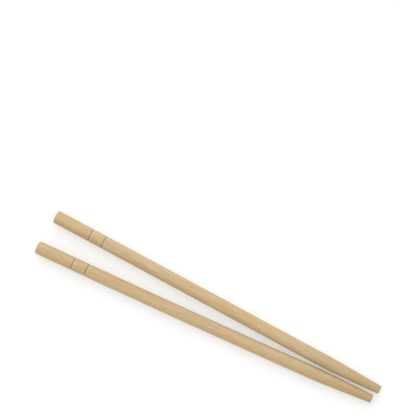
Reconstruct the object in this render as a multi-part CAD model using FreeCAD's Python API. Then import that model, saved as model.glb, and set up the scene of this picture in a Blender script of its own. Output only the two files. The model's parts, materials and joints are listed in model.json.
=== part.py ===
import FreeCAD, Part

import math
import os

# One pair of round bamboo chopsticks, lying on a table as they come to rest: two equal sticks, side by side,
# butts apart and tips close together. Each stick is one piece of bamboo, turned from end to end: a flat butt
# with a rounded rim, a parallel shank with two scored rings near the butt, and a short taper that eases out of
# the shank and runs straight to a blunt, rounded tip.
#
# +Z is up and the table is z = 0. +X runs from the butts to the tips, midway between the two sticks. +Y is on
# the side of the upper stick. The origin is the centre of the pair's footprint, on the table.

# Sizes of one stick, in millimetres
stick_length = 200.0    # butt face to tip face
shank_diameter = 7.3    # parallel from the butt to the taper
tip_diameter = 4.6      # of the cone where it ends, before its rim is rounded
taper_length = 30.0     # tip face back to where the cone's sides would meet the shank's
taper_easing = 6.0      # reach of the easing curve, to either side of where they would meet
butt_rounding = 0.9     # radius of the butt's rim
tip_rounding = 0.6      # radius of the tip's rim
first_ring = 22.0       # butt face to the middle of the first scored ring
ring_spacing = 8.25     # from one ring to the next
ring_count = 2
ring_width = 0.6        # across the mouth of a ring's V
ring_depth = 0.3        # from the shank's surface to the bottom of the V

# How the two sticks lie, in millimetres
tip_gap = 1.6           # clear space between the two tips, before their rims are rounded
butt_gap = 12.2         # clear space between the two butts
stagger = 1.8           # how far the lower stick lies behind the upper one

shank_radius = shank_diameter / 2
tip_radius = tip_diameter / 2
tip_spread = tip_diameter + tip_gap         # between the two axes, at the tips
butt_spread = shank_diameter + butt_gap     # between the two axes, at the butts
toe_in = math.degrees(math.asin((butt_spread - tip_spread) / 2 / stick_length))

along_stick = FreeCAD.Vector(1, 0, 0)
up = FreeCAD.Vector(0, 0, 1)


def outline_point(along, radius):
    """A point of the stick's outline: so far along its axis from the butt face, so far out from the axis."""
    return FreeCAD.Vector(along, radius, 0)


def ring_middles():
    """Where the scored rings lie, measured along the stick from its butt face."""
    return [first_ring + ring_spacing * number for number in range(ring_count)]


def ring_corners(middle):
    """A scored ring's V in the outline: one lip, the bottom, the other lip."""
    return [
        outline_point(middle - ring_width / 2, shank_radius),
        outline_point(middle, shank_radius - ring_depth),
        outline_point(middle + ring_width / 2, shank_radius),
    ]


def taper_edges():
    """The end of the outline: the easing curve, tangent to the shank and to the cone, and the cone's side."""
    meeting = outline_point(stick_length - taper_length, shank_radius)
    cone_end = outline_point(stick_length, tip_radius)
    down_the_cone = (cone_end - meeting).normalize()
    easing_start = outline_point(meeting.x - taper_easing, shank_radius)
    easing_end = meeting + down_the_cone * taper_easing
    easing = Part.BezierCurve()
    easing.setPoles([easing_start, meeting, easing_end])
    return easing.toShape(), Part.LineSegment(easing_end, cone_end).toShape()


def stick_outline():
    """Half of the stick's lengthwise section, as a face between its axis and its surface."""
    corners = [outline_point(0, 0), outline_point(0, shank_radius)]
    for middle in ring_middles():
        corners += ring_corners(middle)
    easing, cone_side = taper_edges()
    corners.append(easing.Vertexes[0].Point)
    sides = [Part.LineSegment(a, b).toShape() for a, b in zip(corners, corners[1:])]
    tip_face = Part.LineSegment(outline_point(stick_length, tip_radius), outline_point(stick_length, 0))
    axis = Part.LineSegment(outline_point(stick_length, 0), outline_point(0, 0))
    return Part.Face(Part.Wire(sides + [easing, cone_side, tip_face.toShape(), axis.toShape()]))


def rim(solid, along):
    """The circular edge around the flat face that stands so far along the stick."""
    end_face = min(solid.Faces, key=lambda face: abs(face.CenterOfMass.x - along))
    return end_face.OuterWire.Edges


def turned_stick():
    """One chopstick on its own axis, from its butt face at x = 0 to its tip."""
    solid = stick_outline().revolve(FreeCAD.Vector(0, 0, 0), along_stick, 360)
    solid = solid.makeFillet(butt_rounding, rim(solid, 0))
    return solid.makeFillet(tip_rounding, rim(solid, stick_length))


def lay_down(solid, side):
    """The stick as it lies on the table: side is 1 for the upper one and -1 for the lower one.

    The shank touches the table all along, and the thinner tip stands just clear of it.
    """
    laid = solid.copy()
    laid.rotate(FreeCAD.Vector(0, 0, 0), up, -side * toe_in)
    butt_back = -stick_length * math.cos(math.radians(toe_in)) / 2
    laid.translate(FreeCAD.Vector(butt_back + side * stagger / 2, side * butt_spread / 2, shank_radius))
    return laid


def centred(laid_sticks):
    """Moves the sticks together, so that the middle of their footprint is at the origin."""
    footprint = Part.Compound(list(laid_sticks.values())).optimalBoundingBox(False)
    to_origin = FreeCAD.Vector(-footprint.Center.x, -footprint.Center.y, 0)
    for stick in laid_sticks.values():
        stick.translate(to_origin)
    return laid_sticks


def build_pair():
    """Both chopsticks in place, by the names of their pieces."""
    stick = turned_stick()
    return centred({"upper_chopstick": lay_down(stick, 1), "lower_chopstick": lay_down(stick, -1)})


os.makedirs("parts", exist_ok=True)
for piece_name, piece in build_pair().items():
    piece.exportStep(os.path.join("parts", piece_name + ".step"))
    print(f"{piece_name}: {piece.Volume / 1000:.2f} cm3, valid {piece.isValid()}, {len(piece.Faces)} faces")
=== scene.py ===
import json
import math

import bmesh
import bpy
from mathutils import Matrix, Vector, noise


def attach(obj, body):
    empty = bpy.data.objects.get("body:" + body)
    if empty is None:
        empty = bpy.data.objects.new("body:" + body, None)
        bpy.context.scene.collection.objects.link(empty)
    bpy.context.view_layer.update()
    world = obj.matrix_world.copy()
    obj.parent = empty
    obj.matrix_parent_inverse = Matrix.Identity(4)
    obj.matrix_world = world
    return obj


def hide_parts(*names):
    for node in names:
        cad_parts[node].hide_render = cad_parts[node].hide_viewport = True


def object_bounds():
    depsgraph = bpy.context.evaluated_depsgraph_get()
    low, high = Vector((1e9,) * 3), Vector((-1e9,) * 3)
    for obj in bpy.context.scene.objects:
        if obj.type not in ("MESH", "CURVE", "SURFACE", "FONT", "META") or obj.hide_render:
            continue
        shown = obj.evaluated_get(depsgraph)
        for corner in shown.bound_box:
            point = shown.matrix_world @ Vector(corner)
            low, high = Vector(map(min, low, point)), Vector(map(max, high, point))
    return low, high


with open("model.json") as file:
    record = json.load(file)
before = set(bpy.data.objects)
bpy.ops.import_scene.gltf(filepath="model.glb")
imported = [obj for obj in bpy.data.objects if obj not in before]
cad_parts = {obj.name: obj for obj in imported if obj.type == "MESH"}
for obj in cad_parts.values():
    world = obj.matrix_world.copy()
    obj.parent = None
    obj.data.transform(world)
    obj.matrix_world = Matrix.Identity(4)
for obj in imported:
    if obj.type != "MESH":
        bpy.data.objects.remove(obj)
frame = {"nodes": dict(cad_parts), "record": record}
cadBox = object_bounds()

# A pair of round bamboo chopsticks on a pale studio floor, seen from above. Each stick is one turned piece
# of bamboo. Both are made by the same steps, each with its own grain and its own slight bow. The frame is
# in metres; sizes in the dictionaries are millimetres unless they say otherwise.

mm = 0.001


# The sticks

stick = {
    "buttRounding": 0.9,      # back from the sharp rim of the butt, along both sides of it
    "tipRounding": 0.6,
    "tipThickness": 4.6,      # of the cone where it ends
    "taperLength": 30.0,      # tip face back to where the cone would meet the shank
    "taperEasing": 6.0,       # reach of the curve to either side of that
    "firstRing": 22.0,        # butt face to the middle of the first scored ring
    "ringSpacing": 8.25,
    "ringWidth": 0.6,
    "ringDepth": 0.3,
    "lipSoftening": 0.08,     # the cutter leaves the ring's lips a little crushed
    "buttSteps": 7,           # steps in the rounding of each kind of corner
    "tipSteps": 6,
    "taperSteps": 8,
    "lipSteps": 3,
    "facesAround": 160,
    "rowLength": 1.5,         # longest face along the stick
    "endRows": 12,            # from the middle of an end face to its rim
    "seamGap": 0.001,         # points nearer to each other than this are merged
}

# How far the surface lies below the turned outline: slightly out of round, with low ridges where the fibre
# bundles stand proud of the softer pith that was sanded away between them. Sizes are along and across the
# grain.
surface = {
    "ovalSize": (70.0, 5.0),
    "ovalDepth": 0.05,
    "ridgeSize": (26.0, 0.8),
    "ridgeDepth": 0.035,
    "fleckSize": (5.0, 0.5),
    "fleckDepth": 0.015,
}


def stickPlace(chopstick):
    # the frame says where the stick's butt is, which way the stick points, and how long and thick it is
    mounts = frame["record"]["mounts"]
    butt = next(mount for mount in mounts if mount["name"] == chopstick["mount"])
    along = -Vector(butt["axis"]).normalized()
    place = Matrix.Translation(Vector(butt["pos_m"])) @ along.to_track_quat("X", "Z").to_matrix().to_4x4()
    toStick = place.inverted()
    points = [toStick @ vert.co for vert in frame["nodes"][chopstick["node"]].data.vertices]
    length = max(point.x for point in points) / mm
    radius = max(point.yz.length for point in points) / mm
    return place, length, radius


def soften(bm, corner, reach, steps):
    # rounds one corner of the outline
    bmesh.ops.bevel(bm, geom=[corner], affect="VERTICES", offset=reach * mm, offset_type="OFFSET",
                    segments=steps, profile=0.5, material=-1)


def drawOutline(bm, length, radius):
    # half of the lengthwise section, from the middle of the butt to the middle of the tip
    halfRing = stick["ringWidth"] / 2
    corners = [(0, 0), (0, radius)]
    for middle in (stick["firstRing"], stick["firstRing"] + stick["ringSpacing"]):
        corners.append((middle - halfRing, radius))
        corners.append((middle, radius - stick["ringDepth"]))
        corners.append((middle + halfRing, radius))
    corners.append((length - stick["taperLength"], radius))
    corners.append((length, stick["tipThickness"] / 2))
    corners.append((length, 0))
    chain = [bm.verts.new((along * mm, 0, out * mm)) for along, out in corners]
    for start, end in zip(chain, chain[1:]):
        bm.edges.new((start, end))
    butt, buttRim, *ringCorners, taper, tipRim, tip = chain
    soften(bm, buttRim, stick["buttRounding"], stick["buttSteps"])
    soften(bm, taper, stick["taperEasing"], stick["taperSteps"])
    soften(bm, tipRim, stick["tipRounding"], stick["tipSteps"])
    for corner in ringCorners:
        soften(bm, corner, stick["lipSoftening"], stick["lipSteps"])
    return butt, tip


def subdivideOutline(bm, butt, tip):
    # rows on the two end faces, and short enough edges for the surface's ridges
    ends = [*butt.link_edges, *tip.link_edges]
    bmesh.ops.subdivide_edges(bm, edges=ends, cuts=stick["endRows"] - 1)
    longest = stick["rowLength"] * mm
    for edge in [edge for edge in bm.edges if edge.calc_length() > longest]:
        bmesh.ops.subdivide_edges(bm, edges=[edge], cuts=math.ceil(edge.calc_length() / longest) - 1)


def surfaceDepth(point, seed):
    # how far below the turned outline the surface lies here, never above it
    def grain(size):
        along, across = size
        stretched = Vector((point.x / along, point.y / across, point.z / across)) / mm
        return noise.noise(stretched + Vector((seed, 2 * seed, -seed)))
    oval = (grain(surface["ovalSize"]) + 1) / 2 * surface["ovalDepth"]
    ridge = (grain(surface["ridgeSize"]) + 1) / 2 * surface["ridgeDepth"]
    fleck = max(0, grain(surface["fleckSize"])) * surface["fleckDepth"]
    return max(0, oval + ridge + fleck) * mm


def bowAt(chopstick, share):
    # sideways, by how far along the stick, from 0 at the butt to 1 at the tip: none at either end
    share = min(max(share, 0), 1)
    return chopstick["bow"] * mm * math.sin(math.pi * share ** chopstick["bowSkew"])


def makeStick(chopstick, place, length, radius):
    bm = bmesh.new()
    butt, tip = drawOutline(bm, length, radius)
    subdivideOutline(bm, butt, tip)
    bmesh.ops.spin(bm, geom=bm.verts[:] + bm.edges[:], cent=(0, 0, 0), axis=(1, 0, 0), angle=2 * math.pi,
                   steps=stick["facesAround"], use_merge=True)
    bmesh.ops.remove_doubles(bm, verts=bm.verts, dist=stick["seamGap"] * mm)
    bmesh.ops.recalc_face_normals(bm, faces=bm.faces)
    bm.normal_update()
    shifts = [(vert, vert.normal * surfaceDepth(vert.co, chopstick["seed"])) for vert in bm.verts]
    for vert, shift in shifts:
        vert.co -= shift
        vert.co.y += bowAt(chopstick, vert.co.x / (length * mm))
    bmesh.ops.transform(bm, matrix=place, verts=bm.verts)
    for face in bm.faces:
        face.smooth = True
    mesh = bpy.data.meshes.new(chopstick["name"])
    bm.to_mesh(mesh)
    bm.free()
    piece = bpy.data.objects.new(chopstick["name"], mesh)
    bpy.context.scene.collection.objects.link(piece)
    return piece


# Materials

mixA, mixB, mixResult = 6, 7, 2     # where a Mix node keeps its colours


def linearColour(hexColour):
    # the numbers are those of the sRGB curve
    channels = [int(hexColour[i:i + 2], 16) / 255 for i in (1, 3, 5)]
    return [c / 12.92 if c <= 0.04045 else ((c + 0.055) / 1.055) ** 2.4 for c in channels] + [1.0]


def addNode(tree, kind, inputs, **settings):
    # inputs gives each socket a value, or the output that is linked into it
    made = tree.nodes.new(kind)
    for name, value in settings.items():
        setattr(made, name, value)
    for socket, source in inputs.items():
        if isinstance(source, bpy.types.NodeSocket):
            tree.links.new(source, made.inputs[socket])
        else:
            made.inputs[socket].default_value = source
    return made


def newTree(owner):
    owner.use_nodes = True
    owner.node_tree.nodes.clear()
    return owner.node_tree


# Bamboo, split from the culm's wall, turned, sanded and tumbled with a little wax. The eye sees a pale,
# warm, satin wood with no year rings: long straight fibre bundles a little darker than the pith around
# them, close together on the side that faced the culm's skin and wide apart on the other, single pale
# fibres, broad bands of warmer and greener tone, dots where the bundles are cut across at both ends, and
# brown in the scored rings. That brown is painted shade of the grooves, and a pale band beside each ring,
# on its tip side, is a painted highlight of the groove's lit wall.
bamboo = {
    "pith": "#cdb78d",
    "paleFibre": "#e4d0ac",
    "bundle": "#a27c4e",
    "warmBand": "#cfa677",
    "greenBand": "#c9b17e",
    "endGrain": "#8f673b",
    # painted shade: the dark brown in the groove of each scored ring
    "scored": "#774f22",
    # painted highlight: the pale band on the tip side of each ring, for the groove's lit wall
    "ringHighlight": "#e8d4b2",
    # darker towards the tip: partly its own tone, partly painted shade
    "tipShade": "#ac9368",
    # size along and across the grain, and how much finer detail; the starts only keep them apart. A real
    # fibre is about 0.1 mm across, too fine to show in the render: "fibre" is drawn coarser for that, and
    # "hair" is nearly its real size and shows from close by
    "patterns": {
        "wander": {"size": (34.0, 7.0), "detail": 1.0, "start": (3.0, 5.1)},    # how the bundles stray
        "band": {"size": (70.0, 2.6), "detail": 2.0, "start": (13.0, 22.1)},
        "patch": {"size": (24.0, 5.0), "detail": 3.0, "start": (17.0, 28.9)},
        "fibre": {"size": (9.0, 0.55), "detail": 2.0, "start": (7.0, 11.9)},
        "hair": {"size": (16.0, 0.15), "detail": 1.0, "start": (23.0, 39.1)},
    },
    "patternRoughness": 0.55,
    # painted in this order, from the pattern's value where a colour sets in to where it is at full strength
    "tints": [
        {"colour": "warmBand", "pattern": "band", "setsIn": 0.38, "full": 0.62, "strength": 0.6},
        {"colour": "greenBand", "pattern": "patch", "setsIn": 0.5, "full": 0.72, "strength": 0.55},
        {"colour": "paleFibre", "pattern": "fibre", "setsIn": 0.46, "full": 0.32, "strength": 0.3},
        {"colour": "bundle", "pattern": "fibre", "setsIn": 0.5, "full": 0.66, "strength": 0.18},
        {"colour": "bundle", "pattern": "hair", "setsIn": 0.52, "full": 0.66, "strength": 0.3},
    ],
    "skinBundles": {"spacing": 0.8, "start": 5.0},      # the real 0.4 mm is too fine to show
    "innerBundles": {"spacing": 1.35, "start": 11.0},   # on the side away from the culm's skin
    "skinSide": (-2.0, 2.5),    # across the stick, inner bundles up to here and skin bundles from there
    "bundleScatter": 0.85,      # how unevenly they are spaced, from 0 to 1
    "bundleRadius": (0.2, 0.36),    # as shares of the spacing, solid up to here and gone from there
    "faintestBundle": 0.35,     # next to the darkest, which is 1
    "bundleStrength": 0.45,
    "wanderReach": 1.3,         # how far a bundle strays across the grain
    "tipShadeLength": 66.0,     # back from the tip face: darker towards the tip, partly the bamboo's own tone and partly painted shade
    "tipShadeStrength": 0.45,
    "endDepth": (0.05, 0.5),    # from an end face, how far its darker grain shows round the rim
    "endStrength": 0.8,
    "ringShadeSpan": (0.1, 0.36),   # from a ring's middle, painted shade up to here and none from there
    "ringShadeStrength": 0.62,
    "highlightSpan": (0.4, 1.0),    # on the tip side of a ring, a painted highlight between these
    "highlightStrength": 0.3,
    "ior": 1.5,
    "roughness": (0.47, 0.59),  # over the span of the fibre pattern's values below
    "roughnessSpan": (0.2, 0.8),
    "relief": 0.03,
    "reliefStrength": 0.7,
    "fibreHeight": 1.3,         # next to a bundle's, which is 1
    "hairHeight": 0.8,
}


def grainPattern(tree, onStick, pattern, shift):
    # noise stretched along the grain
    along, across = pattern["size"]
    stretched = addNode(tree, "ShaderNodeMapping",
                        {"Vector": onStick, "Location": (*pattern["start"], shift),
                         "Scale": (1 / along, 1 / across, 1 / across)}, vector_type="POINT")
    return addNode(tree, "ShaderNodeTexNoise",
                   {"Vector": stretched.outputs[0], "Scale": 1.0, "Detail": pattern["detail"],
                    "Roughness": bamboo["patternRoughness"]})


def bundlePattern(tree, strayed, bundles, shift):
    # cells across the stick, all alike along it, each with a bundle of its own darkness in the middle
    closeness = 1 / bundles["spacing"]
    section = addNode(tree, "ShaderNodeMapping",
                      {"Vector": strayed, "Location": (bundles["start"], shift, bundles["start"]),
                       "Scale": (0.0, closeness, closeness)}, vector_type="POINT")
    cells = addNode(tree, "ShaderNodeTexVoronoi",
                    {"Vector": section.outputs[0], "Scale": 1.0, "Randomness": bamboo["bundleScatter"]})
    solid, gone = bamboo["bundleRadius"]
    spot = addNode(tree, "ShaderNodeMapRange",
                   {"Value": cells.outputs["Distance"], "From Min": gone, "From Max": solid},
                   interpolation_type="SMOOTHSTEP")
    darkness = addNode(tree, "ShaderNodeMapRange",
                       {"Value": cells.outputs["Color"], "To Min": bamboo["faintestBundle"], "To Max": 1.0})
    return addNode(tree, "ShaderNodeMath", {0: spot.outputs[0], 1: darkness.outputs[0]},
                   operation="MULTIPLY").outputs[0]


def allBundles(tree, onStick, wander, shift):
    # the bundles run along the stick and stray a little, so they come up to the surface and sink again
    noiseMiddle = (0.5, 0.5, 0.5)
    reach = bamboo["wanderReach"] / noiseMiddle[0]
    stray = addNode(tree, "ShaderNodeVectorMath", {0: wander.outputs["Color"], 1: noiseMiddle},
                    operation="SUBTRACT")
    strayed = addNode(tree, "ShaderNodeVectorMath",
                      {0: stray.outputs[0], 1: (0.0, reach, reach), 2: onStick},
                      operation="MULTIPLY_ADD").outputs[0]
    apart = addNode(tree, "ShaderNodeSeparateXYZ", {0: onStick})
    innerEnd, skinStart = bamboo["skinSide"]
    skinSide = addNode(tree, "ShaderNodeMapRange",
                       {"Value": apart.outputs["Z"], "From Min": innerEnd, "From Max": skinStart},
                       interpolation_type="SMOOTHSTEP")
    return addNode(tree, "ShaderNodeMix",
                   {"Factor": skinSide.outputs[0],
                    "A": bundlePattern(tree, strayed, bamboo["innerBundles"], shift),
                    "B": bundlePattern(tree, strayed, bamboo["skinBundles"], shift)},
                   data_type="FLOAT").outputs[0]


def endMarks(tree, along, length, bundle):
    # the bundles are darkest where they are cut across, at both ends
    fromCentre = addNode(tree, "ShaderNodeMath", {0: along, 1: length / 2}, operation="SUBTRACT")
    endward = addNode(tree, "ShaderNodeMath", {0: fromCentre.outputs[0]}, operation="ABSOLUTE")
    endFull, endNone = bamboo["endDepth"]
    atEnd = addNode(tree, "ShaderNodeMapRange",
                    {"Value": endward.outputs[0], "From Min": length / 2 - endNone,
                     "From Max": length / 2 - endFull, "To Max": bamboo["endStrength"]},
                    interpolation_type="SMOOTHSTEP")
    return addNode(tree, "ShaderNodeMath", {0: atEnd.outputs[0], 1: bundle}, operation="MULTIPLY")


def ringMarks(tree, along):
    # painted shade in each scored ring and a painted highlight beside it on its tip side, from how far past
    # the nearer ring this is
    betweenRings = stick["firstRing"] + stick["ringSpacing"] / 2
    fromMiddle = addNode(tree, "ShaderNodeMath", {0: along, 1: betweenRings},
                         operation="SUBTRACT").outputs[0]
    side = addNode(tree, "ShaderNodeMath", {0: fromMiddle}, operation="SIGN")
    nearerRing = addNode(tree, "ShaderNodeMath", {0: side.outputs[0], 1: stick["ringSpacing"] / 2},
                         operation="MULTIPLY")
    pastRing = addNode(tree, "ShaderNodeMath", {0: fromMiddle, 1: nearerRing.outputs[0]},
                       operation="SUBTRACT").outputs[0]
    fromRing = addNode(tree, "ShaderNodeMath", {0: pastRing}, operation="ABSOLUTE")
    # painted shade in the ring's groove
    shadeFull, shadeNone = bamboo["ringShadeSpan"]
    ringShade = addNode(tree, "ShaderNodeMapRange",
                    {"Value": fromRing.outputs[0], "From Min": shadeNone, "From Max": shadeFull,
                     "To Max": bamboo["ringShadeStrength"]}, interpolation_type="SMOOTHSTEP")
    # painted highlight on the tip side of each ring
    highlightStart, highlightEnd = bamboo["highlightSpan"]
    ringHighlight = addNode(tree, "ShaderNodeMath",
                      {0: pastRing, 1: (highlightStart + highlightEnd) / 2, 2: (highlightEnd - highlightStart) / 2},
                      operation="COMPARE")
    highlightShare = addNode(tree, "ShaderNodeMath", {0: ringHighlight.outputs[0], 1: bamboo["highlightStrength"]},
                    operation="MULTIPLY")
    return highlightShare, ringShade


def bambooMaterial(chopstick, place, length):
    material = bpy.data.materials.new("turnedBamboo" + chopstick["name"])
    tree = newTree(material)
    # the stick's own millimetres: x along it from the butt, y and z across it, rolled to its own side
    roll = Matrix.Rotation(math.radians(chopstick["roll"]), 3, "X")
    turned = place.to_quaternion() @ roll.to_quaternion()
    coordinates = addNode(tree, "ShaderNodeTexCoord", {})
    onStick = addNode(tree, "ShaderNodeMapping",
                      {"Vector": coordinates.outputs["Object"], "Location": place.translation,
                       "Rotation": turned.to_euler(), "Scale": (mm, mm, mm)},
                      vector_type="TEXTURE").outputs[0]
    along = addNode(tree, "ShaderNodeSeparateXYZ", {0: onStick}).outputs["X"]

    grain = {}
    for name, pattern in bamboo["patterns"].items():
        grain[name] = grainPattern(tree, onStick, pattern, chopstick["shift"])
    fibre = grain["fibre"].outputs[0]
    hair = grain["hair"].outputs[0]
    bundle = allBundles(tree, onStick, grain["wander"], chopstick["shift"])

    layers = []
    for tint in bamboo["tints"]:
        painted = addNode(tree, "ShaderNodeMapRange",
                          {"Value": grain[tint["pattern"]].outputs[0], "From Min": tint["setsIn"],
                           "From Max": tint["full"], "To Max": tint["strength"]},
                          interpolation_type="SMOOTHSTEP")
        layers.append((painted, tint["colour"]))
    bundleShade = addNode(tree, "ShaderNodeMath", {0: bundle, 1: bamboo["bundleStrength"]},
                          operation="MULTIPLY")
    # darker towards the tip, partly own tone and partly painted shade
    towardsTip = addNode(tree, "ShaderNodeMapRange",
                         {"Value": along, "From Min": length - bamboo["tipShadeLength"], "From Max": length,
                          "To Max": bamboo["tipShadeStrength"]}, interpolation_type="SMOOTHSTEP")
    highlightShare, ringShade = ringMarks(tree, along)
    layers.append((bundleShade, "bundle"))
    layers.append((towardsTip, "tipShade"))
    layers.append((endMarks(tree, along, length, bundle), "endGrain"))
    # painted highlight beside the rings
    layers.append((highlightShare, "ringHighlight"))
    # painted shade in the scored rings
    layers.append((ringShade, "scored"))
    colour = linearColour(bamboo["pith"])
    for factor, tone in layers:
        colour = addNode(tree, "ShaderNodeMix",
                         {"Factor": factor.outputs[0], mixA: colour, mixB: linearColour(bamboo[tone])},
                         data_type="RGBA").outputs[mixResult]

    coarseHeight = addNode(tree, "ShaderNodeMath", {0: fibre, 1: bamboo["fibreHeight"], 2: bundle},
                           operation="MULTIPLY_ADD")
    height = addNode(tree, "ShaderNodeMath", {0: hair, 1: bamboo["hairHeight"], 2: coarseHeight.outputs[0]},
                     operation="MULTIPLY_ADD")
    bump = addNode(tree, "ShaderNodeBump",
                   {"Strength": bamboo["reliefStrength"], "Distance": bamboo["relief"] * mm,
                    "Height": height.outputs[0]})
    smoothest, roughest = bamboo["roughness"]
    spanStart, spanEnd = bamboo["roughnessSpan"]
    roughness = addNode(tree, "ShaderNodeMapRange",
                        {"Value": fibre, "From Min": spanStart, "From Max": spanEnd,
                         "To Min": smoothest, "To Max": roughest})
    shader = addNode(tree, "ShaderNodeBsdfPrincipled",
                     {"IOR": bamboo["ior"], "Base Color": colour, "Roughness": roughness.outputs[0],
                      "Normal": bump.outputs[0]})
    addNode(tree, "ShaderNodeOutputMaterial", {"Surface": shader.outputs[0]})
    return material


pair = [
    {
        "name": "upperChopstick",
        "node": "upper_chopstick",
        "mount": "upper_butt_face",
        "slot": "bamboo_upper",
        "seed": 4.3,        # picks its ridges
        "shift": 2.0,       # picks its grain
        "roll": 25.0,       # degrees, which side of the bamboo is up
        "bow": -0.35,       # sideways, at the most
        "bowSkew": 2.8,     # over 1 puts the most of the bow nearer the tip
    },
    {
        "name": "lowerChopstick",
        "node": "lower_chopstick",
        "mount": "lower_butt_face",
        "slot": "bamboo_lower",
        "seed": 9.1,
        "shift": 31.0,
        "roll": -140.0,
        "bow": -0.55,
        "bowSkew": 1.0,
    },
]

for chopstick in pair:
    place, length, radius = stickPlace(chopstick)
    piece = makeStick(chopstick, place, length, radius)
    piece.data.materials.append(bambooMaterial(chopstick, place, length))
    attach(piece, "root")
    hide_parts(chopstick["node"])
    faceCount = len(piece.data.polygons)
    print(f"{chopstick['name']}: {length:.1f} mm long, {2 * radius:.1f} mm thick, {faceCount} faces")


# Studio

studio = {
    "photoSize": (400, 414),        # pixels
    "pairCentre": (209.9, 312.5),   # where the middle of the pair is in that frame
    "stickPixels": 366.8,           # how long a stick is in it
    "pairTurn": 26.07,              # degrees that the pair points down to the right
    "lean": 6.0,                    # degrees from straight above, towards the tips
    "lens": 200.0,
    "sensor": 36.0,
    "skyLevel": 0.8,                # share of the light that comes from all round
    "lampLevel": 0.2,               # share that comes from the lamp
    "lampTilt": 50.0,               # degrees from straight above, towards the top of the picture
    "lampSpread": 70.0,             # degrees across, for a soft shadow
    "floorBounce": "#f0f0f0",       # how pale the floor is for the light that it throws back
    "floorColour": "#d0d0d0",       # and where the camera sees it, before the lift
    "floorLift": 0.43,              # added where the camera sees the floor, so that it is white
    "floorSize": 6000.0,
}

pictureTurn = Matrix.Rotation(math.radians(studio["pairTurn"]), 4, "Z")


def seenDirectly(tree):
    # one for what the camera sees, and for what shows in gloss or glass
    path = addNode(tree, "ShaderNodeLightPath", {})
    seen = path.outputs["Is Camera Ray"]
    for other in ("Is Glossy Ray", "Is Transmission Ray"):
        either = addNode(tree, "ShaderNodeMath", {0: seen, 1: path.outputs[other]}, operation="MAXIMUM")
        seen = either.outputs[0]
    return seen


def makeCamera():
    _, length, _ = stickPlace(pair[0])
    width, height = studio["photoSize"]
    lean = math.radians(studio["lean"])
    metresPerPixel = length * mm * math.cos(lean) / studio["stickPixels"]
    distance = studio["lens"] / studio["sensor"] * max(width, height) * metresPerPixel
    right = (width / 2 - studio["pairCentre"][0]) * metresPerPixel
    above = (studio["pairCentre"][1] - height / 2) * metresPerPixel
    pairMiddle = Matrix.Translation((0, 0, (cadBox[0].z + cadBox[1].z) / 2))
    data = bpy.data.cameras.new("camera")
    data.lens = studio["lens"]
    data.sensor_width = studio["sensor"]
    camera = bpy.data.objects.new("camera", data)
    camera.matrix_world = (pairMiddle @ Matrix.Rotation(lean, 4, "Y") @ pictureTurn
                           @ Matrix.Translation((right, above, distance)))
    bpy.context.scene.collection.objects.link(camera)
    bpy.context.scene.camera = camera


def makeLight():
    data = bpy.data.lights.new("softLamp", "SUN")
    data.angle = math.radians(studio["lampSpread"])
    tilt = math.radians(studio["lampTilt"])
    data.energy = studio["lampLevel"] * math.pi / math.cos(tilt)     # so that the floor gets its share
    lamp = bpy.data.objects.new("softLamp", data)
    lamp.matrix_world = pictureTurn @ Matrix.Rotation(-tilt, 4, "X")
    bpy.context.scene.collection.objects.link(lamp)
    world = bpy.data.worlds.new("studioSky")
    bpy.context.scene.world = world
    tree = newTree(world)
    white = linearColour("#ffffff")
    sky = addNode(tree, "ShaderNodeBackground", {"Color": white, "Strength": studio["skyLevel"]})
    backdrop = addNode(tree, "ShaderNodeBackground", {"Color": white, "Strength": 1.0})
    both = addNode(tree, "ShaderNodeMixShader",
                   {0: seenDirectly(tree), 1: sky.outputs[0], 2: backdrop.outputs[0]})
    addNode(tree, "ShaderNodeOutputWorld", {"Surface": both.outputs[0]})


def makeFloor():
    # matt painted board: takes the soft shadow and is white everywhere else
    material = bpy.data.materials.new("mattPaintedBoard")
    tree = newTree(material)
    seen = seenDirectly(tree)
    paint = addNode(tree, "ShaderNodeMix",
                    {"Factor": seen, mixA: linearColour(studio["floorBounce"]),
                     mixB: linearColour(studio["floorColour"])}, data_type="RGBA")
    board = addNode(tree, "ShaderNodeBsdfDiffuse", {"Color": paint.outputs[mixResult]})
    lift = addNode(tree, "ShaderNodeMath", {0: seen, 1: studio["floorLift"]}, operation="MULTIPLY")
    glow = addNode(tree, "ShaderNodeEmission", {"Strength": lift.outputs[0]})
    both = addNode(tree, "ShaderNodeAddShader", {0: board.outputs[0], 1: glow.outputs[0]})
    addNode(tree, "ShaderNodeOutputMaterial", {"Surface": both.outputs[0]})
    bm = bmesh.new()
    bmesh.ops.create_grid(bm, x_segments=1, y_segments=1, size=studio["floorSize"] * mm / 2)
    bmesh.ops.translate(bm, verts=bm.verts, vec=(0, 0, cadBox[0].z))
    mesh = bpy.data.meshes.new("floor")
    bm.to_mesh(mesh)
    bm.free()
    mesh.materials.append(material)
    floor = bpy.data.objects.new("floor", mesh)
    bpy.context.scene.collection.objects.link(floor)


makeCamera()
makeLight()
makeFloor()
bpy.context.scene.view_settings.view_transform = "Standard"
print("studio: camera, lamp, sky and floor")
